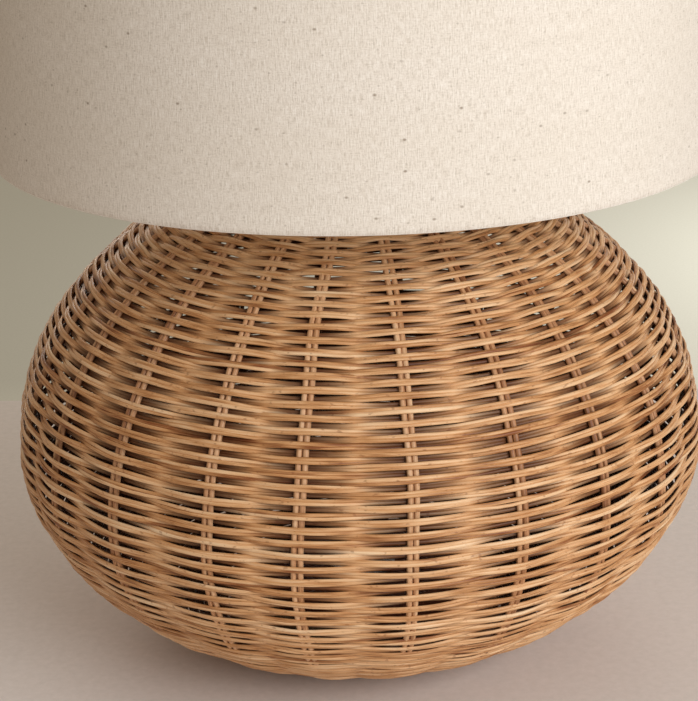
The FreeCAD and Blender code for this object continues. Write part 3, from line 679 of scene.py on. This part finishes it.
def felt_material():
    """Pressed felt with short fuzzy fibres."""
    g = Graph("felt")
    fibres = g.noise(g.place(), 1500.0, detail=4.0, roughness=0.8, distortion=1.5)
    tint = g.ramp(fibres, (0.35, paint(70, 58, 46)), (0.65, paint(112, 96, 78)))
    return g.surface(color=tint, roughness=0.97, normal=g.bump(fibres, 0.3 * MM, 0.8), sheen=0.4)


def finish_nodes(material, *names):
    """Gives CAD nodes a material."""
    for name in names:
        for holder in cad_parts[name].material_slots:
            holder.material = material


def finish_cad_parts():
    """Materials for the CAD nodes that stay."""
    brass = metal_material("aged_brass", paint(188, 146, 84), paint(132, 94, 52), 0.30)
    plate = metal_material("brass_plate", paint(222, 186, 118), paint(196, 156, 96), 0.20)
    shell = metal_material("socket_brass", paint(214, 178, 112), paint(186, 146, 90), 0.24)
    zinc = metal_material("zinc", paint(190, 192, 194), paint(160, 162, 166), 0.35)
    nickel = metal_material("nickel", paint(206, 202, 196), paint(182, 178, 170), 0.25)
    iron = grainy_material("cast_iron", paint(116, 58, 34), paint(138, 74, 46), 500.0, 0.6, 0.3 * MM)
    resin = grainy_material("phenolic", paint(30, 26, 24), paint(42, 36, 32), 900.0, 0.38, 0.03 * MM,
                            coat=0.2)
    card = grainy_material("fibre_card", paint(168, 140, 104), paint(190, 162, 124), 800.0, 0.8)
    styrene = grainy_material("styrene", paint(240, 236, 226), paint(246, 243, 235), 300.0, 0.5, 0.02 * MM)
    enamel = grainy_material("white_enamel", paint(236, 234, 228), paint(226, 223, 215), 400.0, 0.4,
                             0.03 * MM)
    rubber = grainy_material("bushing_rubber", paint(40, 38, 36), paint(54, 51, 48), 700.0, 0.62)
    tungsten = metal_material("filament", paint(214, 168, 104), paint(180, 130, 76), 0.35)
    finish_nodes(board_material(), "base_board")
    finish_nodes(iron, "base_weight")
    finish_nodes(brass, "vase_cap", "neck_spacer", "finial")
    finish_nodes(plate, "harp_saddle", "harp_wire", "harp_boss", "finial_stud")
    finish_nodes(plate, "ferrule_left", "ferrule_right")
    finish_nodes(shell, "socket_cap", "socket_shell", "centre_contact")
    finish_nodes(zinc, "lock_nuts", "pipe_washers", "lamp_pipe", "cap_set_screw", "terminal_screws")
    finish_nodes(nickel, "screw_shell", "bulb_base", "bulb_contact")
    finish_nodes(resin, "socket_core", "switch_shaft", "switch_knob", "base_insulator")
    finish_nodes(card, "socket_liner")
    finish_nodes(styrene, "shade_liner")
    finish_nodes(enamel, "bottom_ring", "top_ring", "spider_arms", "spider_hub")
    finish_nodes(rubber, "cord_bushing")
    finish_nodes(glass_material(), "bulb_glass", "bulb_stem")
    finish_nodes(tungsten, "filaments")


# ---- stage, light and camera ----

def stage_slab(name, half, front, back, top, colors):
    """A wide plain surface."""
    corners = [(-half, front, top), (half, front, top), (half, back, top), (-half, back, top)]
    lower = [(x, y, z - SLAB_T) for x, y, z in corners]
    faces = [(0, 1, 2, 3), (7, 6, 5, 4), (0, 4, 5, 1), (1, 5, 6, 2), (2, 6, 7, 3), (3, 7, 4, 0)]
    slab = new_object(name, corners + lower, faces, smooth=False)
    g = Graph(name)
    grain = g.noise(g.place(), 220.0, detail=4.0, roughness=0.65)
    tint = g.mix(g.spread(grain, 0.3, 0.7), *(paint(*color) for color in colors))
    slab.data.materials.append(g.surface(color=tint, roughness=0.8, normal=g.bump(grain, 0.3 * MM, 0.25)))


def area_light(name, place, target, size, power, color):
    """A soft rectangular light that faces its target."""
    data = bpy.data.lights.new(name, "AREA")
    data.shape, data.energy, data.color = "RECTANGLE", power, color
    data.size, data.size_y = size
    light = bpy.data.objects.new(name, data)
    bpy.context.scene.collection.objects.link(light)
    light.location = place
    light.visible_camera = False
    light.rotation_mode = "QUATERNION"
    light.rotation_quaternion = (Vector(target) - Vector(place)).to_track_quat("-Z", "Y")


def set_stage():
    """The table, the ground behind it, the lights and the room's even light."""
    stage_slab("table", TABLE_HALF, TABLE_FRONT, TABLE_BACK, 0.0, TABLE_COLORS)
    stage_slab("ground", GROUND_HALF, -GROUND_HALF, GROUND_HALF, GROUND_Z, GROUND_COLORS)
    for name, (place, target, size, power, color) in LIGHTS.items():
        area_light(name, place, target, size, power, color)
    world = bpy.data.worlds.new("studio")
    world.use_nodes = True
    background = world.node_tree.nodes["Background"].inputs
    background["Color"].default_value = ROOM_COLOR
    background["Strength"].default_value = ROOM_STRENGTH
    bpy.context.scene.world = world
    bpy.context.scene.view_settings.view_transform = "Standard"


def add_camera():
    """The camera in front of the lamp, above it and looking down."""
    data = bpy.data.cameras.new("camera")
    data.lens = CAMERA_LENS
    camera = bpy.data.objects.new("camera", data)
    bpy.context.scene.collection.objects.link(camera)
    turn = Matrix.Rotation(CAMERA_PAN, 4, "Z") @ Matrix.Rotation(0.5 * math.pi - CAMERA_TILT, 4, "X")
    camera.matrix_world = (Matrix.Translation((0, -CAMERA_DISTANCE, CAMERA_HEIGHT)) @ turn
                           @ Matrix.Rotation(CAMERA_ROLL, 4, "Z"))
    bpy.context.scene.camera = camera


# ---- the lamp ----

add_camera()
set_stage()
finish_cad_parts()

wall_rattan = rattan_material("rattan", WALL_RATTAN)
stake_rattan = rattan_material("rattan_stakes", STAKE_RATTAN)
border_rattan = rattan_material("rattan_border", BORDER_RATTAN)
linen = linen_material()
felt = felt_material()

wall = Wall(WEAVE_DEPTH)
chance = np.random.default_rng(SEED)
stakes = stake_angles(chance)
weave_rows(wall, stakes, wall_rattan, chance)
stake_rods(wall, stakes, stake_rattan, chance)
twisted_border("foot_rope", "foot_border", border_rattan, chance)
twisted_border("neck_rope", "top_border", border_rattan, chance)
shade_cloth(linen)
felt_disc(felt)
